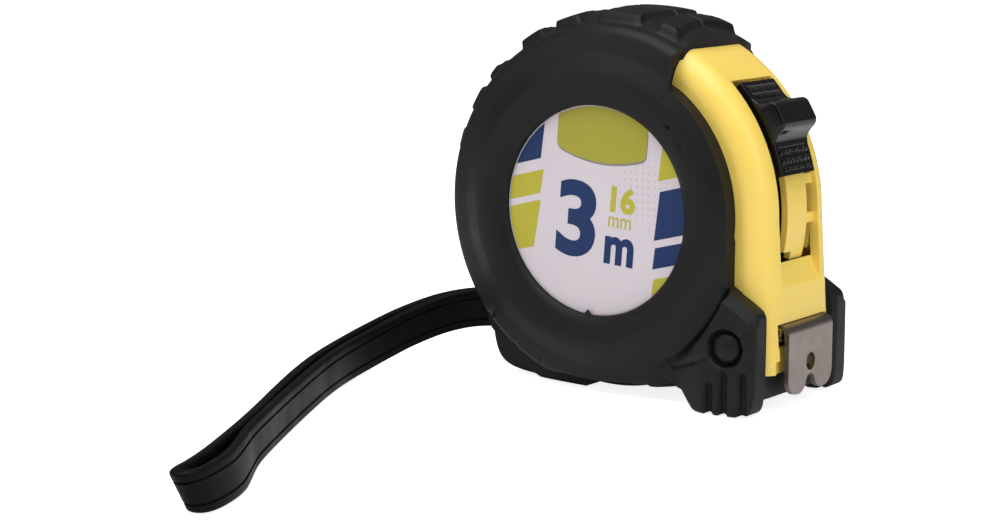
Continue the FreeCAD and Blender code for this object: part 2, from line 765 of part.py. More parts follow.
def hook():
    """A steel plate bent down in front of the blade: its flange under the blade is slotted for
    the rivets, and its claw has a notch and a hole for a nail."""
    thick = size("hook_thick")
    half_wide = size("blade_width") / 2
    tip = BLADE_LOW - size("hook_drop")
    path = [
        (-half_wide, FLANGE_TOP),
        (-half_wide, tip + 3),
        ("by", -half_wide + 0.9, tip + 0.9),
        (-half_wide + 3, tip),
        ("by", -half_wide + 5.3, tip + 0.4),
        (-1.7, tip + 1.4),
        ("by", 0, tip + 3.0),
        (1.7, tip + 1.4),
        ("by", half_wide - 5.3, tip + 0.4),
        (half_wide - 3, tip),
        ("by", half_wide - 0.9, tip + 0.9),
        (half_wide, tip + 3),
        (half_wide, FLANGE_TOP),
    ]
    front = slab_x("hook_front", path, HOOK_BACK - size("hook_flange"), 12)
    bend = size("hook_bend")
    inner = bend - thick
    corner = 1 - math.sqrt(0.5)
    face = HOOK_BACK + thick
    bent_path = [
        (HOOK_BACK - size("hook_flange"), FLANGE_LOW),
        (HOOK_BACK - inner, FLANGE_LOW),
        ("by", HOOK_BACK - inner * corner, FLANGE_LOW - inner * corner),
        (HOOK_BACK, FLANGE_LOW - inner),
        (HOOK_BACK, tip - 1),
        (face, tip - 1),
        (face, FLANGE_TOP - bend),
        ("by", face - bend * corner, FLANGE_TOP - bend * corner),
        (face - bend, FLANGE_TOP),
        (HOOK_BACK - size("hook_flange"), FLANGE_TOP),
    ]
    bent = slab_y("bent_plate", bent_path, -half_wide, half_wide * 2)
    nail = rod_y("nail_hole_tool", 1.6, 0, 4)
    nail.Placement = FreeCAD.Placement(FreeCAD.Vector(), FreeCAD.Rotation(Y_WAY, 90))
    bind(nail, at(HOOK_BACK - 1, 0, tip + 5.2))
    slot = RIVET + size("rivet_gap")
    ways = []
    for side, spot in (("near", -RIVET_Y), ("far", RIVET_Y)):
        low = (RIVET_X - thick, spot - slot, FLANGE_LOW - 1)
        ways.append(block(f"slot_{side}", low, (RIVET_X, spot + slot, FLANGE_TOP + 1)))
        ways.append(rod_z(f"slot_{side}_out", slot, RIVET_X, spot, FLANGE_LOW - 1, 3))
        ways.append(rod_z(f"slot_{side}_in", slot, RIVET_X - thick, spot, FLANGE_LOW - 1, 3))
    return cut("end_hook", common("hook_blank", bent, front), nail, *ways)


node("blade_strip", blade_strip())
node("hook_rivets", rivets())
node("end_hook", hook())


# ------------------------------------------------------------------ blade lock
BUTTON_IN = TONGUE_OUT + size("lock_gap") / 2
BUTTON_OUT = SHELL_RADIUS + size("button_rise")
RIDGE = SHELL_RADIUS + size("ridge_rise")


def lock_button():
    """The thumb button: two gripping ends and a ridge, curved round the crown."""
    path = [
        on_circle(BUTTON_IN, 13),
        on_circle(BUTTON_OUT, 13),
        ("by", *on_circle(BUTTON_OUT, 17)),
        on_circle(BUTTON_OUT, 22),
        ("by", *on_circle(BUTTON_OUT + 1, 24.6)),
        on_circle(RIDGE - 0.6, 25.6),
        on_circle(RIDGE, 26.8),
        on_circle(RIDGE, 33),
        on_circle(RIDGE - 0.6, 34.2),
        ("by", *on_circle(BUTTON_OUT + 0.9, 35.2)),
        on_circle(BUTTON_OUT, 38),
        ("by", *on_circle(BUTTON_OUT, 41)),
        on_circle(BUTTON_OUT, 44),
        on_circle(BUTTON_IN, 44),
        ("by", *on_circle(BUTTON_IN, 28)),
    ]
    half_wide = size("button_half")
    return slab_y("lock_button", path, -half_wide, half_wide * 2)


def lock_slide():
    """The brake leaf inside the crown, with the web that joins it to the button."""
    tip_drop = (HUB - BLADE_LOW - 1.0) / LEAF_OUT
    reach = Size(math.degrees(math.asin(tip_drop.number)), f"(asin({tip_drop.rule}) / 1 deg)")
    low = size("lock_travel") - reach
    half_wide = size("leaf_half")
    leaf = ring_sector("leaf", LEAF_IN, LEAF_OUT, low, 42, -half_wide, half_wide * 2)
    web = ring_sector("web", LEAF_OUT - 0.2, BUTTON_IN, 20, 37, -5.9, 2.9)
    cheek = ring_sector("cheek", LEAF_IN, LEAF_OUT, 18, 39, -5.9, 3)
    return fuse("lock_slide", leaf, web, cheek)


node("lock_button", lock_button())
node("lock_slide", lock_slide())


# ------------------------------------------------------------------ wrist strap
EYE_HALF = 1.95
eye = block(
    "eye_blank",
    (EYE_PIN - 2.6, -EYE_HALF, size("strap_height") - STRAP_HALF),
    (EYE_PIN + 2.2, EYE_HALF, size("strap_height") + STRAP_HALF),
)
eye_bore = rod_z("eye_bore", size("pin_radius"), EYE_PIN, 0, size("strap_height") - 9, 18)
node("strap_eye", cut("strap_eye", eye, eye_bore))
node("strap_pin", rod_z("strap_pin", size("pin_radius"), EYE_PIN, 0, PIN_LOW, PIN_LENGTH))

# Out along the near layer, round the fold, and back along the far one. The strap stands on
# its edge: it leaves the heel in the air and comes down to lie on the floor.
STRAP_ROUTE = [
    (-25.6, -1.1, 11.0),
    (-32.2, -1.1, 11.0),
    (-38.4, -5.8, 10.2),
    (-42.6, -13.4, 7.9),
    (-44.5, -22.6, 5.2),
    (-43.5, -32.6, 3.85),
    (-39.4, -43.2, 3.65),
    (-33.5, -55.2, 3.65),
    (-26.9, -68.2, 3.65),
    (-20.3, -80.8, 3.65),
    (-14.9, -90.8, 3.65),
    (-9.4, -99.0, 3.65),
    (-5.4, -105.2, 3.65),
    (-3.2, -110.6, 3.65),
    (-2.1, -114.2, 3.65),
    (-1.9, -116.5, 3.65),
    (-2.8, -118.0, 3.65),
    (-4.5, -117.9, 3.65),
    (-5.5, -116.0, 3.65),
    (-6.5, -112.6, 3.65),
    (-9.4, -105.6, 3.65),
    (-13.4, -97.6, 3.65),
    (-18.0, -88.8, 3.65),
    (-23.4, -79.0, 3.65),
    (-30.0, -67.0, 3.65),
    (-36.8, -54.2, 3.65),
    (-42.2, -43.0, 3.65),
    (-46.2, -32.2, 3.85),
    (-47.5, -21.8, 5.2),
    (-45.6, -12.4, 7.7),
    (-40.9, -4.2, 10.1),
    (-33.4, 1.1, 11.0),
    (-25.6, 1.1, 11.0),
]


def rounded_route(points):
    """Straight runs joined by tangent arcs: each arc takes 0.45 of its shorter run."""
    corners = [FreeCAD.Vector(*point) for point in points]
    edges = []
    radii = []
    last = corners[0]
    for before, corner, after in zip(corners, corners[1:], corners[2:]):
        back = (before - corner).normalize()
        ahead = (after - corner).normalize()
        reach = 0.45 * min((before - corner).Length, (after - corner).Length)
        half_turn = (math.pi - back.getAngle(ahead)) / 2
        radius = reach / math.tan(half_turn)
        middle = back + ahead
        middle.normalize()
        top = corner + middle * (radius / math.cos(half_turn) - radius)
        start = corner + back * reach
        stop = corner + ahead * reach
        edges.append(Part.LineSegment(last, start).toShape())
        edges.append(Part.Arc(start, top, stop).toShape())
        radii.append(radius)
        last = stop
    edges.append(Part.LineSegment(last, corners[-1]).toShape())
    return Part.Wire(edges), radii


def wrist_strap():
    """The flat strap: its section stands upright all along the route."""
    route, radii = rounded_route(STRAP_ROUTE)
    thick = size("strap_thick").number
    wide = size("strap_wide").number
    start = FreeCAD.Vector(*STRAP_ROUTE[0])
    way = (FreeCAD.Vector(*STRAP_ROUTE[1]) - start).normalize()
    side = Z_WAY.cross(way).normalize() * (thick / 2)
    up = way.cross(side).normalize() * (wide / 2)
    corners = [start + side + up, start + side - up, start - side - up, start - side + up]
    section = Part.makePolygon([*corners, corners[0]])
    sweep = Part.BRepOffsetAPI.MakePipeShell(route)
    sweep.setBiNormalMode(Z_WAY)
    sweep.add(section, WithContact=False, WithCorrection=False)
    sweep.build()
    sweep.makeSolid()
    strap = doc.addObject("Part::Feature", "wrist_strap")
    strap.Shape = Part.Solid(sweep.shape())
    print("strap radii", [round(radius, 1) for radius in radii])
    print("strap length", round(route.Length, 1))
    print("strap volume", round(strap.Shape.Volume), "of", round(route.Length * thick * wide))
    return strap


node("wrist_strap", wrist_strap())


# ------------------------------------------------------------------ write the sub-parts
doc.recompute()
failed = [thing.Name for thing in doc.Objects if {"Invalid", "Error"} & set(thing.State)]
for thing in nodes:
    if thing.Shape.isNull() or not thing.Shape.isValid() or not thing.Shape.Solids:
        failed.append(thing.Label)
if failed:
    raise RuntimeError(f"these did not build: {failed}")
os.makedirs("parts", exist_ok=True)
for thing in nodes:
    thing.Shape.exportStep(f"parts/{thing.Label}.step")
    print(thing.Label, len(thing.Shape.Solids), round(thing.Shape.Volume, 1))
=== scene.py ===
"""A pocket tape measure: round yellow case in a black rubber cover, with its blade, hook,
thumb lock and wrist strap, standing on a pale floor."""
import math

import bmesh
import bpy
import numpy as np
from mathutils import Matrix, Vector


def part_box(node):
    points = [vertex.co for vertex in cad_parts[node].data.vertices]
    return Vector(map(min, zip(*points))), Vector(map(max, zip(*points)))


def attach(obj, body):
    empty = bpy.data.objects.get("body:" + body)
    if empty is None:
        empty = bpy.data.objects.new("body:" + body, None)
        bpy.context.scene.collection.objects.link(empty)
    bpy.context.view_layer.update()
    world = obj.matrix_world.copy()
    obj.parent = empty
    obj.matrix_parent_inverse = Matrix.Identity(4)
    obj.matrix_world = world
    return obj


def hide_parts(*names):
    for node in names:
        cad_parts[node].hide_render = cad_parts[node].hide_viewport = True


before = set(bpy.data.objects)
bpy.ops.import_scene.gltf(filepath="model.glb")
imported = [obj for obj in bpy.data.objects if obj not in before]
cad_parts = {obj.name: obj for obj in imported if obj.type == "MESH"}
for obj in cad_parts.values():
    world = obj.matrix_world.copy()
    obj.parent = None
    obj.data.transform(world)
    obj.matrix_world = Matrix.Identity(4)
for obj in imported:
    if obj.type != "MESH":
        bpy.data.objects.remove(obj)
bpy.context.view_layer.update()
mm = 0.001
deg = math.pi / 180
reel_low, reel_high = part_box("drum")
hub = (reel_low[2] + reel_high[2]) / 2


# ---------------------------------------------------------------- camera, floor and light
# A long lens at a little above the table, on a seamless pale sheet under a large overhead
# softbox with a strip light on each side.
def look_from(thing, azimuth, elevation):
    """Turns a camera or light so that its back points along that azimuth and elevation."""
    thing.rotation_euler = (math.pi / 2 - elevation, 0, azimuth)


camera = bpy.data.objects.new("camera", bpy.data.cameras.new("camera"))
camera.data.lens = 84.8
camera.data.sensor_width = 36
camera.data.clip_start = 0.01
camera.location = (0.2310, -0.3641, 0.0927)
look_from(camera, 35.81 * deg, 9.27 * deg)
bpy.context.scene.collection.objects.link(camera)
bpy.context.scene.camera = camera


def softbox(name, azimuth, elevation, distance, size, power, aim):
    """A rectangular area light at that direction and distance from aim, facing it."""
    lamp = bpy.data.lights.new(name, "AREA")
    lamp.shape = "RECTANGLE"
    lamp.size, lamp.size_y = size
    lamp.energy = power
    holder = bpy.data.objects.new(name, lamp)
    away = Vector((math.sin(azimuth) * math.cos(elevation),
                   -math.cos(azimuth) * math.cos(elevation), math.sin(elevation)))
    holder.location = Vector(aim) + away * distance
    look_from(holder, azimuth, elevation)
    bpy.context.scene.collection.objects.link(holder)


middle = (0, 0, hub)
softbox("overhead", 10 * deg, 76 * deg, 0.60, (0.60, 0.60), 3.9, middle)
softbox("front_strip", 78 * deg, 24 * deg, 0.62, (0.30, 0.55), 1.0, middle)
softbox("side_strip", -38 * deg, 26 * deg, 0.75, (0.45, 0.60), 1.1, middle)

world = bpy.data.worlds.new("studio")
world.use_nodes = True
world.node_tree.nodes["Background"].inputs["Color"].default_value = (1.0, 0.985, 0.97, 1)
world.node_tree.nodes["Background"].inputs["Strength"].default_value = 0.16
bpy.context.scene.world = world
bpy.context.scene.view_settings.view_transform = "Standard"


def new_material(name):
    """A new material, with its node tree and its Principled shader."""
    material = bpy.data.materials.new(name)
    material.use_nodes = True
    tree = material.node_tree
    return material, tree, tree.nodes["Principled BSDF"]


def add_node(tree, kind, settings=(), **values):
    """Adds a node with its properties and its sockets' values. A value that is itself a
    socket is linked. A socket goes by its name, or by its number as in0, in1 and so on."""
    made = tree.nodes.new(kind)
    for key, value in dict(settings).items():
        setattr(made, key, value)
    for key, value in values.items():
        socket = made.inputs[int(key[2:]) if key.startswith("in") else key.replace("_", " ")]
        if isinstance(value, bpy.types.NodeSocket):
            tree.links.new(value, socket)
        else:
            socket.default_value = value
    return made


floor_paper, tree, shader = new_material("floor_paper")
shader.inputs["Base Color"].default_value = (0.93, 0.93, 0.93, 1)
shader.inputs["Roughness"].default_value = 0.9
shader.inputs["Specular IOR Level"].default_value = 0.1
shader.inputs["Emission Color"].default_value = (1, 1, 1, 1)
seen = add_node(tree, "ShaderNodeLightPath").outputs["Is Camera Ray"]
glow_on_part, glow_to_camera = 0.12, 0.85
glow = add_node(tree, "ShaderNodeMapRange", Value=seen, in3=glow_on_part, in4=glow_to_camera)
tree.links.new(glow.outputs["Result"], shader.inputs["Emission Strength"])
sheet_half = 4.0
floor_mesh = bpy.data.meshes.new("floor")
corners = [(-sheet_half, -sheet_half, 0), (sheet_half, -sheet_half, 0),
           (sheet_half, sheet_half, 0), (-sheet_half, sheet_half, 0)]
floor_mesh.from_pydata(corners, [], [(0, 1, 2, 3)])
floor_mesh.materials.append(floor_paper)
floor = bpy.data.objects.new("floor", floor_mesh)
bpy.context.scene.collection.objects.link(floor)

# ---------------------------------------------------------------- wrist strap
# A flat band of soft black PVC, extruded with two grooves down each face. It is folded
# double: both ends go into the heel of the case and the fold lies on the table.
strap_wide = 7.2 * mm
strap_thick = 1.7 * mm
steps_between = 20
most_lean, lean_share, lean_kept = 27 * deg, 0.16, 0.3
LEAN_WAY = np.array([-0.2, -0.98, 0.0])
STRAP_ROUTE = [
    (-25.6, -1.1, 11.0), (-32.2, -1.1, 11.0), (-38.4, -5.8, 10.2), (-42.6, -13.4, 7.9),
    (-44.5, -22.6, 5.2), (-43.5, -32.6, 3.85), (-39.4, -43.2, 3.65), (-33.5, -55.2, 3.65),
    (-26.9, -68.2, 3.65), (-20.3, -80.8, 3.65), (-14.9, -90.8, 3.65), (-9.4, -99.0, 3.65),
    (-5.4, -105.2, 3.65), (-3.2, -110.6, 3.65), (-2.1, -114.2, 3.65), (-1.9, -116.5, 3.65),
    (-2.8, -118.0, 3.65), (-4.5, -117.9, 3.65), (-5.5, -116.0, 3.65), (-6.5, -112.6, 3.65),
    (-9.4, -105.6, 3.65), (-13.4, -97.6, 3.65), (-18.0, -88.8, 3.65), (-23.4, -79.0, 3.65),
    (-30.0, -67.0, 3.65), (-36.8, -54.2, 3.65), (-42.2, -43.0, 3.65), (-46.2, -32.2, 3.85),
    (-47.5, -21.8, 5.2), (-45.6, -12.4, 7.7), (-40.9, -4.2, 10.1), (-33.4, 1.1, 11.0),
    (-25.6, 1.1, 11.0),
]


def points_along(route, resolution):
    """The points of a smooth order 3 NURBS line that has the route as its control points."""
    curve = bpy.data.curves.new("route", "CURVE")
    curve.dimensions = "3D"
    spline = curve.splines.new("NURBS")
    spline.points.add(len(route) - 1)
    for point, place in zip(spline.points, route):
        point.co = (*place, 1)
    spline.order_u = 3
    spline.use_endpoint_u = True
    spline.resolution_u = resolution
    holder = bpy.data.objects.new("route", curve)
    bpy.context.scene.collection.objects.link(holder)
    bpy.context.view_layer.update()
    mesh = bpy.data.meshes.new_from_object(holder)
    line = np.empty(len(mesh.vertices) * 3)
    mesh.vertices.foreach_get("co", line)
    bpy.data.objects.remove(holder)
    bpy.data.meshes.remove(mesh)
    return line.reshape(-1, 3)


def unit(vectors):
    """Each row of an array divided by its own length."""
    return vectors / np.linalg.norm(vectors, axis=-1, keepdims=True)


def grid_faces(rows, columns, wrap_rows=False, wrap_columns=False):
    """Corner numbers of the quads between neighbours of a rows x columns grid of points."""
    number = np.arange(rows * columns).reshape(rows, columns)
    if wrap_rows:
        number = np.vstack([number, number[:1]])
    if wrap_columns:
        number = np.hstack([number, number[:, :1]])
    return np.stack([number[:-1, :-1], number[:-1, 1:], number[1:, 1:], number[1:, :-1]], -1)


def make_piece(name, points, faces, material, sharp=40 * deg, merge=0.0):
    """An object at the origin from points and faces, smooth but for edges sharper than sharp.
    With merge, points closer than that become one and faces that lose their area go."""
    mesh = bpy.data.meshes.new(name)
    mesh.from_pydata(np.asarray(points).reshape(-1, 3).tolist(), [], [list(f) for f in faces])
    if merge:
        work = bmesh.new()
        work.from_mesh(mesh)
        bmesh.ops.remove_doubles(work, verts=work.verts, dist=merge)
        bmesh.ops.dissolve_degenerate(work, edges=work.edges, dist=merge)
        work.to_mesh(mesh)
        work.free()
    mesh.update()
    mesh.shade_smooth()
    mesh.set_sharp_from_angle(angle=sharp)
    mesh.materials.append(material)
    piece = bpy.data.objects.new(name, mesh)
    bpy.context.scene.collection.objects.link(piece)
    return piece


def band_section():
    """Outline of the strap across its run: a rounded rectangle, with a groove at each side
    of the middle of both faces. First column across the width, second through it."""
    half_wide, half_thick, corner = strap_wide / 2, strap_thick / 2, 0.5 * mm
    groove_at, groove_half, groove_deep = 2.0 * mm, 0.25 * mm, 0.3 * mm
    flat = np.array([-half_wide + corner, -groove_at - groove_half, -groove_at - groove_half / 2,
                     -groove_at + groove_half / 2, -groove_at + groove_half, 0])
    across = np.concatenate([flat, -flat[-2::-1]])
    sunk = np.where(np.abs(np.abs(across) - groove_at) < groove_half * 0.9, groove_deep, 0)
    face = np.stack([across, half_thick - sunk], -1)
    turn = np.linspace(90, -90, 9)[1:-1, None] * deg
    edge = np.hstack([half_wide - corner + corner * np.cos(turn),
                      (half_thick - corner) * np.sign(np.sin(turn)) + corner * np.sin(turn)])
    half = np.vstack([face, edge])
    return np.vstack([half, -half])


def band_along(line, section, lean):
    """Carries a section along a line, with one angle of lean for each point. The width
    stands upright where that angle is nought and leans towards LEAN_WAY elsewhere."""
    along = unit(np.gradient(line, axis=0))
    lean = lean[:, None]
    wide = np.sin(lean) * LEAN_WAY + np.cos(lean) * (0.0, 0.0, 1.0)
    wide = unit(wide - along * np.sum(wide * along, axis=1, keepdims=True) * lean_kept)
    thick = unit(np.cross(along, wide))
    return (line[:, None] + section[None, :, :1] * wide[:, None]
            + section[None, :, 1:] * thick[:, None])


strap_line = points_along(np.array(STRAP_ROUTE) * mm, steps_between)
gone = np.concatenate([[0], np.cumsum(np.linalg.norm(np.diff(strap_line, axis=0), axis=1))])
near_fold = np.clip(1 - np.abs(gone / gone[-1] - 0.5) / lean_share, 0, 1)
strap_lean = most_lean * near_fold ** 2 * (3 - 2 * near_fold)
section = band_section()
strap_points = band_along(strap_line, section, strap_lean)
strap_faces = grid_faces(len(strap_line), len(section), wrap_columns=True).reshape(-1, 4).tolist()
last = (len(strap_line) - 1) * len(section)
strap_faces += [list(range(len(section)))[::-1], [last + n for n in range(len(section))]]

fine_grain = bpy.data.node_groups.new("moulded_grain", "ShaderNodeTree")
for socket, kind in (("Scale", "NodeSocketFloat"), ("Depth", "NodeSocketFloat"),
                     ("Low roughness", "NodeSocketFloat"), ("High roughness", "NodeSocketFloat")):
    fine_grain.interface.new_socket(socket, in_out="INPUT", socket_type=kind)
for socket, kind in (("Normal", "NodeSocketVector"), ("Roughness", "NodeSocketFloat"),
                     ("Patches", "NodeSocketFloat")):
    fine_grain.interface.new_socket(socket, in_out="OUTPUT", socket_type=kind)
asked = fine_grain.nodes.new("NodeGroupInput")
given = fine_grain.nodes.new("NodeGroupOutput")
place = add_node(fine_grain, "ShaderNodeTexCoord").outputs["Object"]
pebble = add_node(fine_grain, "ShaderNodeTexNoise", Vector=place, Scale=asked.outputs["Scale"],
                  Detail=2.0, Roughness=0.6)
relief = add_node(fine_grain, "ShaderNodeBump", Strength=0.35, Distance=asked.outputs["Depth"],
                  Height=pebble.outputs["Fac"])
patches = add_node(fine_grain, "ShaderNodeTexNoise", Vector=place, Scale=95.0, Detail=4.0,
                   Roughness=0.55)
spread = add_node(fine_grain, "ShaderNodeMapRange", Value=patches.outputs["Fac"], in1=0.35,
                  in2=0.65, in3=asked.outputs["Low roughness"],
                  in4=asked.outputs["High roughness"])
fine_grain.links.new(relief.outputs["Normal"], given.inputs["Normal"])
fine_grain.links.new(spread.outputs["Result"], given.inputs["Roughness"])
fine_grain.links.new(patches.outputs["Fac"], given.inputs["Patches"])


def moulded(name, dark, light, roughness, grain_scale, grain_depth):
    """A moulded plastic or rubber: two close shades in soft patches, fine pebbled grain and
    an uneven gloss between two roughnesses."""
    material, tree, shader = new_material(name)
    grain = add_node(tree, "ShaderNodeGroup", {"node_tree": fine_grain}, Scale=grain_scale,
                     Depth=grain_depth, Low_roughness=roughness[0], High_roughness=roughness[1])
    shade = add_node(tree, "ShaderNodeMix", {"data_type": "RGBA"}, in0=grain.outputs["Patches"],
                     in6=(*dark, 1), in7=(*light, 1))
    tree.links.new(shade.outputs[2], shader.inputs["Base Color"])
    tree.links.new(grain.outputs["Roughness"], shader.inputs["Roughness"])
    tree.links.new(grain.outputs["Normal"], shader.inputs["Normal"])
    return material, tree, shader


strap_pvc, tree, shader = moulded("strap_pvc", (0.0025, 0.0020, 0.0025), (0.0045, 0.0038, 0.0045),
                                  (0.42, 0.56), 2600.0, 0.00003)
shader.inputs["Specular IOR Level"].default_value = 0.09
strap = make_piece("strap_band", strap_points, strap_faces, strap_pvc)
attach(strap, "case")
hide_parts("wrist_strap")

# ---------------------------------------------------------------- rubber cover
# Two halves of soft black rubber moulded over the shells: a domed ring round each label, a
# crown with tread lugs over the back, a foot at each side of the mouth and a heel behind.
rubber, tree, shader = moulded("cover_rubber", (0.0062, 0.0055, 0.0062), (0.0088, 0.0080, 0.0088),
                               (0.44, 0.56), 5200.0, 0.00004)
shader.inputs["Specular IOR Level"].default_value = 0.22

hub_high = hub / mm
far_out = 99.0
# The ring: its profile's radii, the heights over the middle plane at them, and its swell.
RING_AT = [19.0, 19.5, 20.1, 25.3, 28.5, 31.0, 33.0]
RING_HIGH = [15.3, 16.0, 16.3, 16.45, 14.9, 14.2, 12.6]
ring_inside, ring_edge, side_end = 19.0, 27.2, 31.0
swell_rise, swell_at, swell_half = 0.45, 22.6, 2.7
key_at, key_rise, key_half = 266.6, 1.0, 1.5
smoothing = 17
# The shells under it, and the ledge round the label.
shell_side, shell_crown, core_radius = 11.9, 33.0, 29.2
SEAT = [(20.3, 11.9), (20.3, 14.3), (19.02, 14.3)]
# The foot: its face and edges, its sloped top as a line in x and z, and what is on its face.
foot_face, foot_front, front_edge, foot_inner = 17.1, 34.5, 27.4, 12.9
foot_start, foot_end, foot_stop = 290, 340, 338.9
top_x, top_z, top_out, top_line = 0.524, 0.852, 4.77, 33.57
rear_out = 11.8
nose_round, sole_round, bevel_wide, bevel_slope = 1.2, 0.9, 1.7, 0.8
dome_at, dome_radius, dome_moat = (28.6, 12.3), 2.5, 3.4
moat_deep, lip_at, lip_rise = 1.3, 3.8, 0.35
GROOVES = [(25.3, 5.8), (28.2, 8.1), (32.1, 8.2)]
groove_deep, nick_deep, nick_half = 1.1, 0.45, 0.55
FINE_LINES = [((16.2, 7.0), (25.4, 10.4), 0.35), ((31.3, 14.6), (34.2, 17.0), 0.3)]
line_half = 0.33
crease_at, crease_deep, crease_half, foot_rise = 30.1, 0.5, 0.4, (30.15, 30.95)
# The crown: a dome that falls towards its sides, its lugs and treads, the pad and the heel.
crown_radius, crown_side, crown_fall = 35.4, 11.0, 2.0
lug_rise, lug_fall, lug_flank, tread_flank = 0.8, 0.9, 0.7, 0.4
crown_cut, crown_end, pad_end = 15.0, 55.0, 321.3
tread_height, tread_rise, pad_front = 2.5, 0.6, 33.5
heel_back, heel_half, heel_step, heel_blend = 28.4, 8.0, 9.5, 8.5
slot_half, slot_at, slot_high, slot_floor = 2.4, 11, 4.1, 34.0
# Each lug from one angle to another with its slant, and each tread from one x to another.
LUGS = [(63.5, 73, -3), (76, 92, 3), (105, 114, -4), (119, 128, -4), (131, 136, 5),
        (141, 149, 4), (163, 170, -5), (174.5, 190, 4)]
TREADS = [(-14, -9.5), (-5.5, -1.5), (1.5, 6.5), (8.5, 15)]


def ramp(value, low, high):
    """Rises smoothly from 0 at low to 1 at high."""
    share = np.clip((value - low) / (high - low), 0, 1)
    return share * share * (3 - 2 * share)


def soft_least(a, b, blend):
    """The lesser of two values, rounded over a distance of about blend where they cross."""
    return (a + b - np.sqrt((a - b) ** 2 + blend ** 2)) / 2


def soft_most(a, b, blend):
    """The greater of two values, rounded in the same way."""
    return -soft_least(-a, -b, blend)


def evened(heights):
    """Each height of a row replaced by the mean of those round it, so that corners soften."""
    padded = np.pad(heights, smoothing // 2, mode="edge")
    return np.convolve(padded, np.ones(smoothing) / smoothing, mode="valid")


def ring_height(radius):
    """Height of the cover's side over the middle plane: a rounded lip at the label, a domed
    ring, a bevel, and a flatter shoulder out to the crown."""
    steps = np.linspace(ring_inside - 2, 40, 900)
    swell = swell_rise * np.clip(1 - ((steps - swell_at) / swell_half) ** 2, 0, 1)
    return np.interp(radius, steps, evened(np.interp(steps, RING_AT, RING_HIGH) + swell))


def outline(angle):
    """Radius of the cover's outline on the side at each angle: the ring's edge over the
    front, the foot's four sides, and the end of the shoulder elsewhere."""
    cos, sin = np.cos(angle), np.sin(angle)
    down = np.clip(-sin, 1e-6, None)
    front = np.where((sin > -0.12), ring_edge, front_edge / np.clip(cos, 0.2, None))
    over_front = (cos > 0) & (angle < crown_end * deg) | (angle > 300 * deg)
    body = np.where(over_front & (sin > -0.6), soft_most(front, ring_edge, 0.4), side_end)
    at_x = cos * hub_high / down
    sole = sum(nick_deep * np.exp(-((at_x - x) / nick_half) ** 2) for x, top in GROOVES)
    bottom = (hub_high - sole) / down
    nose = foot_front / np.clip(cos, 0.1, None)
    slope = top_x * cos + top_z * sin
    top = np.where(slope > 0.02, top_out / np.clip(slope, 0.02, None), far_out)
    lean = -(cos + sin)
    rear = np.where(lean > 0.02, rear_out / np.clip(lean, 0.02, None), far_out)
    foot = soft_least(soft_least(soft_least(bottom, nose, 3.2), top, 1.2), rear, 1.6)
    is_foot = (angle > foot_start * deg) & (angle < foot_end * deg)
    return np.where(is_foot, soft_most(foot, body, 0.3), body)


def edge_round(inwards, size):
    """How far a face falls back at that distance inwards from its rounded edge."""
    return size - np.sqrt(np.clip(size ** 2 - np.clip(size - inwards, 0, size) ** 2, 0, None))


def side_height(x, z, radius, angle, pits):
    """Height of the side over the middle plane. The foot is a plate that rises out of the
    shoulder behind a crease, with a bevel on top, a dome in a round moat, two fine lines and
    three upright grooves."""
    height = ring_height(radius)
    plate = foot_face - 3.3 * (1 - ramp(x, 14.5, 25.0))
    from_dome = np.hypot(x - dome_at[0], z - dome_at[1])
    moat = moat_deep * (ramp(from_dome, dome_radius - 0.1, dome_radius + 0.25)
                        - ramp(from_dome, dome_moat - 0.3, dome_moat + 0.1))
    cap = 1.15 * (1 - np.sqrt(np.clip(1 - (from_dome / (dome_radius + 0.15)) ** 2, 0, 1)))
    below = ramp(-(x - dome_at[0]) - (z - dome_at[1]), 0, 4)
    lip = lip_rise * np.exp(-((from_dome - lip_at) / 0.28) ** 2) * below
    detail = np.where(from_dome < dome_radius + 0.05, 0.3 - cap, -moat) + lip
    for (x0, z0), (x1, z1), deep in FINE_LINES:
        run = np.clip(((x - x0) * (x1 - x0) + (z - z0) * (z1 - z0))
                      / ((x1 - x0) ** 2 + (z1 - z0) ** 2), 0, 1)
        off = np.hypot(x - x0 - run * (x1 - x0), z - z0 - run * (z1 - z0))
        detail = detail - deep * np.exp(-(off / line_half) ** 2)
    for groove, top in GROOVES:
        off = np.hypot(x - groove, np.clip(z - top + 0.6, 0, None))
        detail = detail - groove_deep * (1 - ramp(off, 0.15, 1.0))
    from_top = top_line - top_x * x - top_z * z
    bevel = bevel_slope * np.clip(bevel_wide - from_top, 0, None)
    plate = plate + detail - bevel
    plate = plate - edge_round(foot_front - x, nose_round) - edge_round(z, sole_round)
    sector = ramp(angle, 293 * deg, 299 * deg) * (1 - ramp(angle, 338.6 * deg, 339 * deg))
    on_foot = ramp(radius, *foot_rise) * sector
    crease = crease_deep * np.exp(-((radius - crease_at) / crease_half) ** 2) * sector
    height = height * (1 - on_foot) + plate * on_foot - crease
    for px, pz, half, bottom in pits:
        inside = 1 - ramp(np.hypot(x - px, z - pz), half - 0.2, half + 0.2)
        height = height + (np.minimum(bottom, height) - height) * inside
    return height


def flank(value, middle, half):
    """A smooth step up from 0 to 1 round that middle."""
    return ramp(value, middle - half, middle + half)


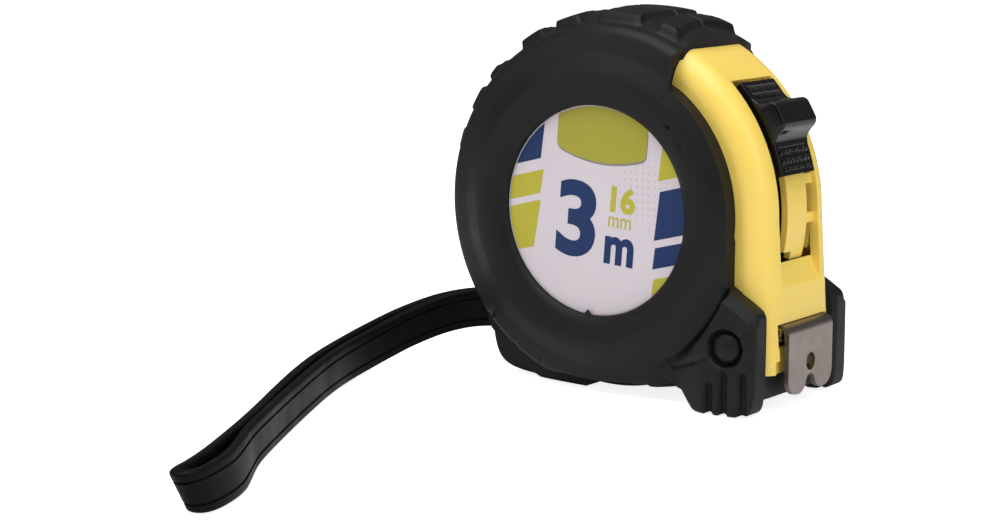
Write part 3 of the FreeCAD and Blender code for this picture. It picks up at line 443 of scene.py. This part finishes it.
def crown_surface(angle, height):
    """Radius of the crown at each angle and height over the middle plane: a dome with tread
    lugs, cut flat below, let out to the pad under the mouth, and the heel with its steps and
    the slot for the strap."""
    cos, sin = np.cos(angle), np.sin(angle)
    down = np.clip(-sin, 1e-6, None)
    dome = crown_radius - crown_fall * (height / crown_side) ** 2.2
    lug = sum(flank(angle / deg, start + slant * height / crown_side, lug_flank)
              - flank(angle / deg, stop + slant * height / crown_side, lug_flank)
              for start, stop, slant in LUGS)
    lug = lug * (1 - ramp(height, 9.6, 10.7)) * ramp(height, 0.1, 0.5)
    lug_top = crown_radius + lug_rise - lug_fall * (height / 10) ** 2
    dome = dome + (lug_top - dome) * lug
    at_x = cos * (hub_high - tread_height) / down
    tread = sum(flank(at_x, start, tread_flank) - flank(at_x, stop, tread_flank)
                for start, stop in TREADS)
    tread = tread_rise * tread * (1 - ramp(height, 10.2, 10.9))
    floor_side = (hub_high - tread_height + tread) / down
    pad = soft_least(floor_side, pad_front / np.clip(cos, 0.2, None), 0.8)
    below = np.where(sin < -0.5, np.where(cos > 0, pad, floor_side), far_out)
    let_out = 12 * ramp(angle, 296 * deg, 303 * deg)
    radius = soft_least(dome + let_out, below, 0.3)
    heel = soft_least(heel_back / np.clip(-cos, 0.05, None), hub_high / down, heel_blend)
    heel_side = np.where((angle > 190 * deg) & (angle < 262 * deg), heel, 0)
    step = np.minimum(heel_side, crown_radius + 1.3)
    radius = np.where(height < heel_step, np.maximum(radius, step), radius)
    radius = np.where(height < heel_half, np.maximum(radius, heel_side), radius)
    z = hub_high + radius * sin
    slot = (height < slot_half) & (np.abs(z - slot_at) < slot_high) & (cos < 0)
    return np.where(slot, np.minimum(radius, slot_floor), radius)


def upright_cut(radius):
    """The turn that brings a point at that radius onto the upright plane of the crown's end."""
    turn = np.arccos(crown_cut / np.clip(radius, ring_edge, None))
    return turn - math.acos(crown_cut / ring_edge)


def cover_half(name, way, pits, fine, material):
    """One half of the cover as one closed surface: way is -1 for the left side and 1 for the
    right. Its columns stand at angles round the reel's axis, closer together over the fine
    spans. A column runs from the label over the side and the crown to the middle, and back
    inside. Over the front, where there is no crown, it closes onto itself behind the side."""
    spans = [(crown_end, 190, 1.0), (190, 262, 0.8), (262, 295, 1.0), (295, 306, 0.25),
             (306, 332, 0.26), (332, foot_stop, 0.13), (foot_stop, crown_end + 360, 1.7)]
    angle = np.concatenate([np.arange(a, b, step) for a, b, step in spans]
                           + [np.arange(a + 0.13, b, 0.5) for a, b in fine])
    angle = np.sort(np.append(angle, [crown_end, pad_end, pad_end + 0.001])) * deg
    flush = np.zeros(len(angle), bool)
    flush[0] = True
    flush[np.searchsorted(angle, (pad_end + 0.0005) * deg)] = True
    shut = angle > (pad_end + 0.002) * deg
    full = ~(flush | shut)
    reach = outline(angle)
    reach[0] = ring_edge
    inner_break = np.minimum(crease_at, ring_inside + (reach - ring_inside) * 0.6)
    share = np.concatenate([np.linspace(0, 1, 42), np.linspace(1, 2, 43)[1:]])[:, None]
    lip = ring_inside - key_rise * np.exp(-((angle / deg - key_at) / key_half) ** 2)
    radius = np.where(share <= 1, lip + (inner_break - lip) * share,
                      inner_break + (reach - inner_break) * (share - 1))
    turned = angle + 0 * radius
    fade = np.where(full | flush, np.clip(1 - (angle / deg - crown_end) / 40, 0, 1) ** 2, 0)
    turned = turned + upright_cut(radius) * fade
    x, z = radius * np.cos(turned), hub_high + radius * np.sin(turned)
    height = side_height(x, z, radius, turned, pits)
    side = np.stack([x, height, z], -1)

    foot = (angle > 295 * deg) & (angle < foot_stop * deg) & (reach > side_end + 0.8)
    drop = np.where(foot, foot_inner, np.where(full, crown_side, shell_side))
    down = np.linspace(0, 1, 7)[1:, None]
    wall_height = height[-1] + (drop - height[-1]) * down
    bulge = np.where(full & ~foot, np.sin(down * math.pi / 2), 0)
    crown_low = crown_surface(angle, np.full(len(angle), crown_side))
    wall_radius = reach + (crown_low - reach) * bulge
    rounded = crown_side + (height[-1] - crown_side) * np.cos(down * math.pi / 2)
    wall_height = np.where(full & ~foot, rounded, wall_height)
    over = np.array([10.9, 10.6, 10.2, 9.8, 9.55, 9.45, 9.1, 8.6, 8.1, 7.95, 7.4, 6.8, 6.2, 5.6,
                     5.0, 4.4, 3.8, 3.2, 2.6, 2.42, 2.38, 1.8, 1.2, 0.7, 0.4, 0.15, 0])[:, None]
    crown = crown_surface(angle + 0 * over, over + 0 * angle)
    crown = crown - 0.15 * (over < 0.1)
    under_crown = np.interp(over, [0, 8, shell_side], [shell_crown, shell_crown, core_radius])
    under_crown = under_crown + 0 * angle
    closed = np.minimum(reach, core_radius) - 0.3
    crown = np.where(full, crown, np.where(flush, under_crown, closed))
    crown_height = np.where(full | flush, over, shell_side + 0 * angle)
    under = np.where(full | flush, under_crown, closed)
    last_radius = np.stack([np.where(foot, reach - 1, reach), np.where(full, crown_low, closed)])
    last_height = np.stack([np.where(foot, shell_side, wall_height[-1]),
                            np.where(full, crown_side, shell_side)])
    last_radius[0] = np.where(full & ~foot, crown_low, last_radius[0])

    crown_turn = angle + upright_cut(crown) * fade

    def place(radius, height, turn):
        return np.stack([radius * np.cos(turn), height, hub_high + radius * np.sin(turn)], -1)

    seat = np.stack([place(np.full(len(angle), r), np.full(len(angle), h), angle)
                     for r, h in SEAT])
    points = np.concatenate([
        side, place(wall_radius, wall_height, crown_turn[0] + 0 * wall_radius),
        place(last_radius, last_height, crown_turn[0] + 0 * last_radius),
        place(crown, crown_height, crown_turn),
        place(under, crown_height, crown_turn)[::-1], seat])
    faces = grid_faces(points.shape[0], points.shape[1], wrap_rows=True, wrap_columns=True)
    first = len(side) + len(down) + 2
    keep = np.ones(faces.shape[:2], bool)
    neighbour = np.roll(full, -1)
    keep[first - 1:first + 2 * len(over) - 1, ~(full | neighbour)] = False
    faces = faces[keep]
    if way > 0:
        faces = faces[:, ::-1]
    points = points * (1, way, 1) * mm
    return make_piece(name, points, faces, material, sharp=52 * deg, merge=0.000002)


# Small round pits in the side, each at x and z with its radius and its floor's height, and
# the four over the screws' heads.
side_pits = [(-23.2, 13.0, 0.55, 13.4), (-18.1, 8.3, 0.55, 13.4), (-12.2, 4.8, 0.5, 13.4),
             (16.1, 49.9, 0.35, 16.0), (18.8, 46.6, 0.35, 16.0)]
screw_circle, screw_turns, low_screw = 23.185, (60, 140, 200), (7.0, 8.2)
head_room, pit_floor = 2.2, 12.3
head_pits = [(screw_circle * math.cos(a * deg), hub_high + screw_circle * math.sin(a * deg),
              head_room, pit_floor) for a in screw_turns] + [(*low_screw, head_room, pit_floor)]
cover_left = cover_half("cover_left", -1, side_pits, [], rubber)
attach(cover_left, "case")
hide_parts("armour_left")
cover_right = cover_half("cover_right", 1, side_pits[:3] + head_pits,
                         [(55.5, 66), (133, 147), (193, 207), (278, 292)], rubber)
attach(cover_right, "case")
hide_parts("armour_right")

# ---------------------------------------------------------------- yellow shells
# The case is two half shells of glossy yellow ABS, screwed together from the right. They
# keep the lock's channel, the guide tongue in it, the ledge below it and the mouth.
shell_plastic, tree, shader = moulded("case_yellow", (0.92, 0.66, 0.125), (0.96, 0.70, 0.145),
                                      (0.30, 0.40), 3200.0, 0.000012)
shader.inputs["Subsurface Weight"].default_value = 0.12
shader.inputs["Subsurface Radius"].default_value = (1.0, 0.6, 0.2)
shader.inputs["Subsurface Scale"].default_value = 0.0012


def dress(node, material):
    """Gives every slot of a carried-over node that material."""
    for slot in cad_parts[node].material_slots:
        slot.material = material


for node in ("shell_left", "shell_right"):
    dress(node, shell_plastic)

# ---------------------------------------------------------------- printed labels
# A round label of glossy film is stuck to the disc on each side. The left one is printed
# with a blank green plate, the blade's length and width, and slanting bars that run out to
# its edge; the right one is plain but for its bars.
film, tree, shader = moulded("label_film", (0.66, 0.60, 0.645), (0.71, 0.645, 0.69),
                             (0.32, 0.40), 900.0, 0.000002)
place = add_node(tree, "ShaderNodeTexCoord").outputs["Object"]
apart = add_node(tree, "ShaderNodeSeparateXYZ", Vector=place)
pitch = 1 / (1.25 * mm)
rows = [add_node(tree, "ShaderNodeMath", {"operation": "PINGPONG"}, in0=apart.outputs[axis],
                 in1=0.5 / pitch).outputs[0] for axis in ("X", "Z")]
far = add_node(tree, "ShaderNodeMath", {"operation": "MAXIMUM"}, in0=rows[0], in1=rows[1])
dot = add_node(tree, "ShaderNodeMapRange", Value=far.outputs[0], in1=0.22 * mm, in2=0.30 * mm,
               in3=1.0, in4=0.0)
zone_place = add_node(tree, "ShaderNodeVectorMath", {"operation": "DISTANCE"}, in0=place,
                      in1=(10.0 * mm, -14.7 * mm, hub + 4.0 * mm))
zone = add_node(tree, "ShaderNodeMapRange", Value=zone_place.outputs["Value"], in1=3.0 * mm,
                in2=9.5 * mm, in3=0.30, in4=0.0)
printed = add_node(tree, "ShaderNodeMath", {"operation": "MULTIPLY"}, in0=dot.outputs[0],
                   in1=zone.outputs[0])
base = shader.inputs["Base Color"].links[0].from_socket
dotted = add_node(tree, "ShaderNodeMix", {"data_type": "RGBA"}, in0=printed.outputs[0],
                  in6=base, in7=(0.35, 0.33, 0.36, 1))
tree.links.new(dotted.outputs[2], shader.inputs["Base Color"])
shader.inputs["Coat Weight"].default_value = 0.2
for node in ("label_left", "label_right"):
    dress(node, film)

label_low, label_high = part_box("label_left")
label_radius = (label_high[0] - label_low[0]) / 2
print_edge = label_radius - 0.25 * mm
print_rise = 0.03 * mm
label_turn = 4.5 * deg
bar_slope = 0.34
# Each bar's inner end, that end's lean, its side, and the heights of its two long edges.
BLUE_BARS = [(-13.0, 0.055, -1, 12.0, 21.0), (12.9, 0.05, 1, -7.7, 1.0),
             (13.3, 0.05, 1, -12.9, -9.1)]
GREEN_BARS = [(-12.3, 0.09, -1, 5.5, 9.8), (-12.0, 0.09, -1, -4.3, 4.2),
              (12.3, 0.05, 1, 3.0, 12), (13.9, 0.06, 1, -19.0, -14.8)]


def bar(inner, slant, way, low, high):
    """A slanting bar on the label, from a leaning straight inner end out to the label's
    edge. low and high are the heights of its long edges over the middle, carried sideways
    to the upright line through it."""
    level = np.linspace(low, high, 25)[:, None] * mm
    inner = inner * mm
    start = (inner + slant * level) / (1 - slant * bar_slope)
    inside = np.clip((1 + bar_slope ** 2) * print_edge ** 2 - level ** 2, 0, None)
    stop = (-bar_slope * level + way * np.sqrt(inside)) / (1 + bar_slope ** 2)
    stop = np.where(way * (stop - start) > 0, stop, start)
    across = start + (stop - start) * np.linspace(0, 1, 9)[None]
    up = level + bar_slope * across
    beyond = np.maximum(1, np.hypot(across, up) / print_edge)
    return np.stack([across / beyond, up / beyond], -1)


def plate():
    """The blank plate at the top of the label: its sides stand upright with small round
    corners, its foot sags, and its top follows the label's edge."""
    left, right, foot, sag, corner = -9.3 * mm, 9.8 * mm, 10.6 * mm, 1.8 * mm, 1.0 * mm
    across = left + (right - left) * (1 - np.cos(np.linspace(0, math.pi, 61))) / 2
    along = (across - left) / (right - left) * 2 - 1
    near_end = np.clip(corner - np.minimum(across - left, right - across), 0, corner)
    low = foot - sag * (1 - along ** 2) + corner - np.sqrt(corner ** 2 - near_end ** 2)
    high = np.sqrt(print_edge ** 2 - across ** 2)
    rise = np.linspace(0, 1, 7)[:, None]
    return np.stack([across + 0 * rise, low + (high - low) * rise], -1)


def on_label(flat, way, rise):
    """Puts flat label points on the left (-1) or right (1) label, turned as it was stuck."""
    x, z = flat[..., 0], flat[..., 1]
    turned_x = x * math.cos(label_turn) + z * math.sin(label_turn)
    turned_z = z * math.cos(label_turn) - x * math.sin(label_turn)
    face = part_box("label_left")[0][1] if way < 0 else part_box("label_right")[1][1]
    return np.stack([-way * turned_x, face + way * rise + 0 * x, hub + turned_z], -1)


def print_sheets(name, sheets, way, rise, ink):
    """Thin printed areas as one piece, each a grid on the label with its face outwards."""
    points, faces, count = [], [], 0
    for sheet in sheets:
        quads = grid_faces(*sheet.shape[:2]).reshape(-1, 4)
        placed = on_label(sheet, way, rise)
        first = placed.reshape(-1, 3)[quads[len(quads) // 2]]
        if np.cross(first[1] - first[0], first[2] - first[1])[1] * way < 0:
            quads = quads[:, ::-1]
        points.append(placed.reshape(-1, 3))
        faces += (quads + count).tolist()
        count += len(points[-1])
    piece = make_piece(name, np.concatenate(points), faces, ink, merge=0.000001)
    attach(piece, "case")


def lettering(name, words, height, place_at, widen, squeeze, ink):
    """A number or unit printed on the left label, with its lower left corner at place_at.
    Its strokes are made heavier by widen, and its width is then scaled by squeeze."""
    text = bpy.data.curves.new(name, "FONT")
    text.body = words
    text.size = height
    text.offset = widen
    text.resolution_u = 6
    holder = bpy.data.objects.new(name + "_text", text)
    bpy.context.scene.collection.objects.link(holder)
    bpy.context.view_layer.update()
    mesh = bpy.data.meshes.new_from_object(holder)
    bpy.data.objects.remove(holder)
    flat = np.empty(len(mesh.vertices) * 3)
    mesh.vertices.foreach_get("co", flat)
    flat = flat.reshape(-1, 3)[:, :2]
    flat = (flat - flat.min(0)) * (squeeze, 1) + place_at
    mesh.vertices.foreach_set("co", on_label(flat, -1, print_rise).ravel())
    mesh.materials.append(ink)
    mesh.update()
    piece = bpy.data.objects.new(name, mesh)
    bpy.context.scene.collection.objects.link(piece)
    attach(piece, "case")


def printing_ink(name, colour):
    """An ink with slightly uneven cover and gloss."""
    dark = tuple(0.92 * value for value in colour)
    ink, _, shader = moulded(name, dark, colour, (0.30, 0.38), 1500.0, 0.000002)
    shader.inputs["Specular IOR Level"].default_value = 0.25
    return ink


blue_ink = printing_ink("label_blue", (0.010, 0.032, 0.125))
green_ink = printing_ink("label_green", (0.52, 0.47, 0.045))
plate_ink = printing_ink("plate_green", (0.41, 0.375, 0.045))
rim_ink = printing_ink("plate_shadow", (0.27, 0.25, 0.25))
blue_sheets, green_sheets = [bar(*b) for b in BLUE_BARS], [bar(*b) for b in GREEN_BARS]
for side, way in (("left", -1), ("right", 1)):
    print_sheets("label_blue_bars_" + side, blue_sheets, way, print_rise, blue_ink)
    print_sheets("label_green_bars_" + side, green_sheets, way, print_rise, green_ink)
plate_sheet = plate()
shadow = plate_sheet + (0.15 * mm, -0.35 * mm)
shadow[-1] = plate_sheet[-1]
print_sheets("label_plate_shadow", [shadow], -1, print_rise * 0.7, rim_ink)
print_sheets("label_plate", [plate_sheet], -1, print_rise * 1.6, plate_ink)
lettering("label_length", "3", 18.4 * mm, (-8.1 * mm, -9.1 * mm), 0.60 * mm, 1.08, blue_ink)
lettering("label_metre", "m", 9.5 * mm, (2.5 * mm, -9.1 * mm), 0.36 * mm, 0.90, blue_ink)
lettering("label_width", "16", 6.0 * mm, (3.1 * mm, 0.35 * mm), 0.26 * mm, 1.02, green_ink)
lettering("label_unit", "mm", 4.0 * mm, (2.9 * mm, -2.35 * mm), 0.02 * mm, 0.84, green_ink)

# ---------------------------------------------------------------- hook, rivets and blade
# The hook is pressed from satin nickel-plated strip and hangs on two loose rivets, so that
# it moves by its own thickness. The blade is spring steel in yellow lacquer, marked in
# millimetres on its hollow upper face.
def metal(name, dark, light, roughness, scratch_scale, stretch):
    """Bare or plated steel: fine parallel scratches that run along one axis."""
    material, tree, shader = new_material(name)
    place = add_node(tree, "ShaderNodeTexCoord").outputs["Object"]
    pulled = add_node(tree, "ShaderNodeMapping", Vector=place, Scale=stretch)
    scratch = add_node(tree, "ShaderNodeTexNoise", Vector=pulled.outputs[0], Scale=scratch_scale,
                       Detail=5.0, Roughness=0.7)
    cloud = add_node(tree, "ShaderNodeTexNoise", Vector=place, Scale=260.0, Detail=3.0)
    both = add_node(tree, "ShaderNodeMath", {"operation": "MULTIPLY_ADD"},
                    in0=scratch.outputs["Fac"], in1=0.6, in2=cloud.outputs["Fac"])
    tone = add_node(tree, "ShaderNodeMapRange", Value=both.outputs[0], in1=0.5, in2=1.1,
                    in3=0.0, in4=1.0)
    shade = add_node(tree, "ShaderNodeMix", {"data_type": "RGBA"}, in0=tone.outputs[0],
                     in6=(*dark, 1), in7=(*light, 1))
    gloss = add_node(tree, "ShaderNodeMapRange", Value=scratch.outputs["Fac"], in1=0.3, in2=0.7,
                     in3=roughness[0], in4=roughness[1])
    relief = add_node(tree, "ShaderNodeBump", Strength=0.25, Distance=0.00001,
                      Height=scratch.outputs["Fac"])
    tree.links.new(shade.outputs[2], shader.inputs["Base Color"])
    tree.links.new(gloss.outputs[0], shader.inputs["Roughness"])
    tree.links.new(relief.outputs[0], shader.inputs["Normal"])
    shader.inputs["Metallic"].default_value = 1.0
    return material


hook_steel = metal("hook_nickel", (0.235, 0.195, 0.18), (0.32, 0.27, 0.25), (0.30, 0.42), 900.0,
                   (1.0, 0.08, 1.0))
rivet_steel = metal("rivet_steel", (0.45, 0.44, 0.43), (0.62, 0.61, 0.60), (0.25, 0.4), 700.0,
                    (1.0, 1.0, 1.0))
turned_steel = metal("turned_steel", (0.40, 0.40, 0.41), (0.58, 0.58, 0.59), (0.22, 0.36), 600.0,
                     (1.0, 0.1, 1.0))
spring_steel = metal("spring_steel", (0.16, 0.17, 0.20), (0.30, 0.31, 0.34), (0.25, 0.4), 500.0,
                     (1.0, 0.1, 1.0))
screw_steel = metal("screw_steel", (0.10, 0.10, 0.105), (0.17, 0.17, 0.175), (0.35, 0.5), 800.0,
                    (1.0, 1.0, 1.0))
dress("centre_post", turned_steel)
dress("strap_pin", turned_steel)
dress("spring_link", spring_steel)
dress("power_spring", spring_steel)
dress("case_screws", screw_steel)

blade_low, blade_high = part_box("blade_strip")
blade_half = (blade_high[1] - blade_low[1]) / 2
hook_low, hook_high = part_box("end_hook")
flange_thick = 0.9 * mm
flange_lift, flange_press = blade_high[2] - hook_high[2] + flange_thick + 0.02 * mm, 0.25 * mm
bend_start, head_start, head_lift = 7.5 * mm, 0.5 * mm, 1.55 * mm


def reshaped(name, node, lifted, body, material):
    """A piece made from a carried-over node, joined up, with its heights worked out anew."""
    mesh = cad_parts[node].data.copy()
    mesh.materials.clear()
    work = bmesh.new()
    work.from_mesh(mesh)
    bmesh.ops.remove_doubles(work, verts=work.verts, dist=0.000002)
    work.to_mesh(mesh)
    work.free()
    spots = np.empty(len(mesh.vertices) * 3)
    mesh.vertices.foreach_get("co", spots)
    spots = spots.reshape(-1, 3)
    spots[:, 2] = lifted(spots[:, 2])
    mesh.vertices.foreach_set("co", spots.ravel())
    mesh.update()
    mesh.shade_smooth()
    mesh.set_sharp_from_angle(angle=20 * deg)
    mesh.materials.append(material)
    piece = bpy.data.objects.new(name, mesh)
    bpy.context.scene.collection.objects.link(piece)
    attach(piece, body)
    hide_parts(node)


def over_blade(height):
    """Lifts the flange and the bend until the flange lies over the blade's edges."""
    upper = height > hook_low[2] + bend_start
    pressed = flange_press * ramp(height, hook_high[2] - flange_thick, hook_high[2])
    return height + upper * (flange_lift - pressed)


def head_on_flange(height):
    """Lifts the rivets' upper heads to the flange's top."""
    return height + head_lift * (height > blade_low[2] + head_start)


reshaped("hook_plate", "end_hook", over_blade, "hook", hook_steel)
reshaped("hook_rivet_pair", "hook_rivets", head_on_flange, "blade", rivet_steel)


def lacquer(name, marked):
    """Yellow lacquer. On the strip, black lines mark each millimetre from the hook at both
    edges, longer at five and across the face at ten."""
    material, tree, shader = moulded(name, (0.80, 0.56, 0.05), (0.86, 0.62, 0.07), (0.22, 0.32),
                                     700.0, 0.000003)
    if marked:
        place = add_node(tree, "ShaderNodeTexCoord").outputs["Object"]
        apart = add_node(tree, "ShaderNodeSeparateXYZ", Vector=place)
        run = add_node(tree, "ShaderNodeMath", {"operation": "SUBTRACT"},
                       in0=hook_high[0] - 0.0009, in1=apart.outputs["X"])
        off = add_node(tree, "ShaderNodeMath", {"operation": "ABSOLUTE"}, in0=apart.outputs["Y"])
        lines = None
        for pitch, half_line, reach in ((0.001, 0.00007, 0.0018), (0.005, 0.00008, 0.0030),
                                        (0.010, 0.00010, 0.0080)):
            near = add_node(tree, "ShaderNodeMath", {"operation": "PINGPONG"},
                            in0=run.outputs[0], in1=pitch / 2)
            thin = add_node(tree, "ShaderNodeMath", {"operation": "LESS_THAN"},
                            in0=near.outputs[0], in1=half_line)
            edge = add_node(tree, "ShaderNodeMath", {"operation": "GREATER_THAN"},
                            in0=off.outputs[0], in1=blade_half - reach)
            line = add_node(tree, "ShaderNodeMath", {"operation": "MULTIPLY"},
                            in0=thin.outputs[0], in1=edge.outputs[0])
            lines = line if lines is None else add_node(
                tree, "ShaderNodeMath", {"operation": "MAXIMUM"}, in0=lines.outputs[0],
                in1=line.outputs[0])
        base = shader.inputs["Base Color"].links[0].from_socket
        inked = add_node(tree, "ShaderNodeMix", {"data_type": "RGBA"}, in0=lines.outputs[0],
                         in6=base, in7=(0.01, 0.01, 0.01, 1))
        tree.links.new(inked.outputs[2], shader.inputs["Base Color"])
    shader.inputs["Coat Weight"].default_value = 0.3
    return material


dress("blade_strip", lacquer("blade_lacquer", True))
dress("blade_coil", lacquer("coil_lacquer", False))

# ---------------------------------------------------------------- inner plastic
# The drum that the blade winds on is moulded in black plastic, and so is its cover. The
# strap's end inside the case is the strap's own PVC.
reel_plastic = moulded("reel_plastic", (0.014, 0.014, 0.014), (0.022, 0.022, 0.022), (0.4, 0.55),
                       2400.0, 0.00002)[0]
dress("drum", reel_plastic)
dress("drum_cover", reel_plastic)
dress("strap_eye", strap_pvc)

# ---------------------------------------------------------------- lock button
# The thumb button is moulded in glossy black ABS and rides round the crown with the brake
# leaf under it. Rows of small pyramids grip the thumb at both ends of its ridge.
button_plastic, tree, shader = moulded("button_black", (0.002, 0.002, 0.0022),
                                       (0.0035, 0.0033, 0.0036), (0.12, 0.20), 4200.0, 0.000003)
shader.inputs["Specular IOR Level"].default_value = 0.3
dress("lock_slide", button_plastic)
button_inside, button_edge = 32.65, 0.5
# The ridge's profile: angles round the reel's axis, and the top's radius at them.
RIDGE_TURN = [21.6, 23.6, 24.9, 25.9, 27.2, 32.8, 34.1, 35.0, 36.2, 38.0]
RIDGE_OUT = [34.0, 34.35, 35.4, 36.9, 37.45, 37.45, 36.9, 35.4, 34.35, 34.0]
PADS = [(14.2, 21.6), (37.6, 43.2)]
row_pitch, tooth_pitch, tooth_rise, tooth_flat, pad_sunk = 2.7, 1.25, 0.75, 0.25, 0.12
button_low, button_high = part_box("lock_button")
button_half = (button_high[1] - button_low[1]) / 2 / mm


def button_surface(turn, across):
    """Radius of the button's top at each angle and place across: level ends, a ridge with
    hollow flanks, pyramids on the ends, and edges rounded off along both sides."""
    steps = np.linspace(12, 45, 661)
    radius = np.interp(turn, steps, evened(np.interp(steps, RIDGE_TURN, RIDGE_OUT)))
    on_pad = sum(ramp(turn, a, a + 0.3) - ramp(turn, b - 0.3, b) for a, b in PADS)
    on_pad = on_pad * (1 - ramp(np.abs(across), button_half - 1.3, button_half - 1.0))
    rows = 1 - 2 * np.abs((turn / row_pitch) % 1 - 0.5)
    teeth = 1 - 2 * np.abs((across / tooth_pitch) % 1 - 0.5)
    tooth = tooth_rise * np.clip(np.minimum(rows, teeth) - tooth_flat, 0, 1)
    radius = radius + on_pad * (tooth - pad_sunk)
    edge = np.clip(button_edge - (button_half - np.abs(across)), 0, button_edge)
    return radius - button_edge + np.sqrt(button_edge ** 2 - edge ** 2)


turn = np.concatenate([[13.0], np.linspace(13.05, 43.95, 130), [44.0]])[:, None]
near_edge = button_half - button_edge * (1 - np.sin(np.linspace(0, 90, 6) * deg))
across = np.concatenate([-near_edge[::-1], np.linspace(-near_edge[0], near_edge[0], 75)[1:-1],
                         near_edge])[None]
top = button_surface(turn, across)
top[[0, -1]] = button_inside
foot = np.full((len(turn), 1), button_inside)
radius = np.hstack([foot, top, foot])
across = np.hstack([across[:, :1], across, across[:, -1:]]) + 0 * radius
turn = turn * deg + 0 * radius
points = np.stack([radius * np.cos(turn), across, hub / mm + radius * np.sin(turn)], -1) * mm
button = make_piece("thumb_button", points,
                    grid_faces(*radius.shape, wrap_columns=True).reshape(-1, 4), button_plastic,
                    sharp=32 * deg, merge=0.000002)
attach(button, "lock")
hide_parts("lock_button")
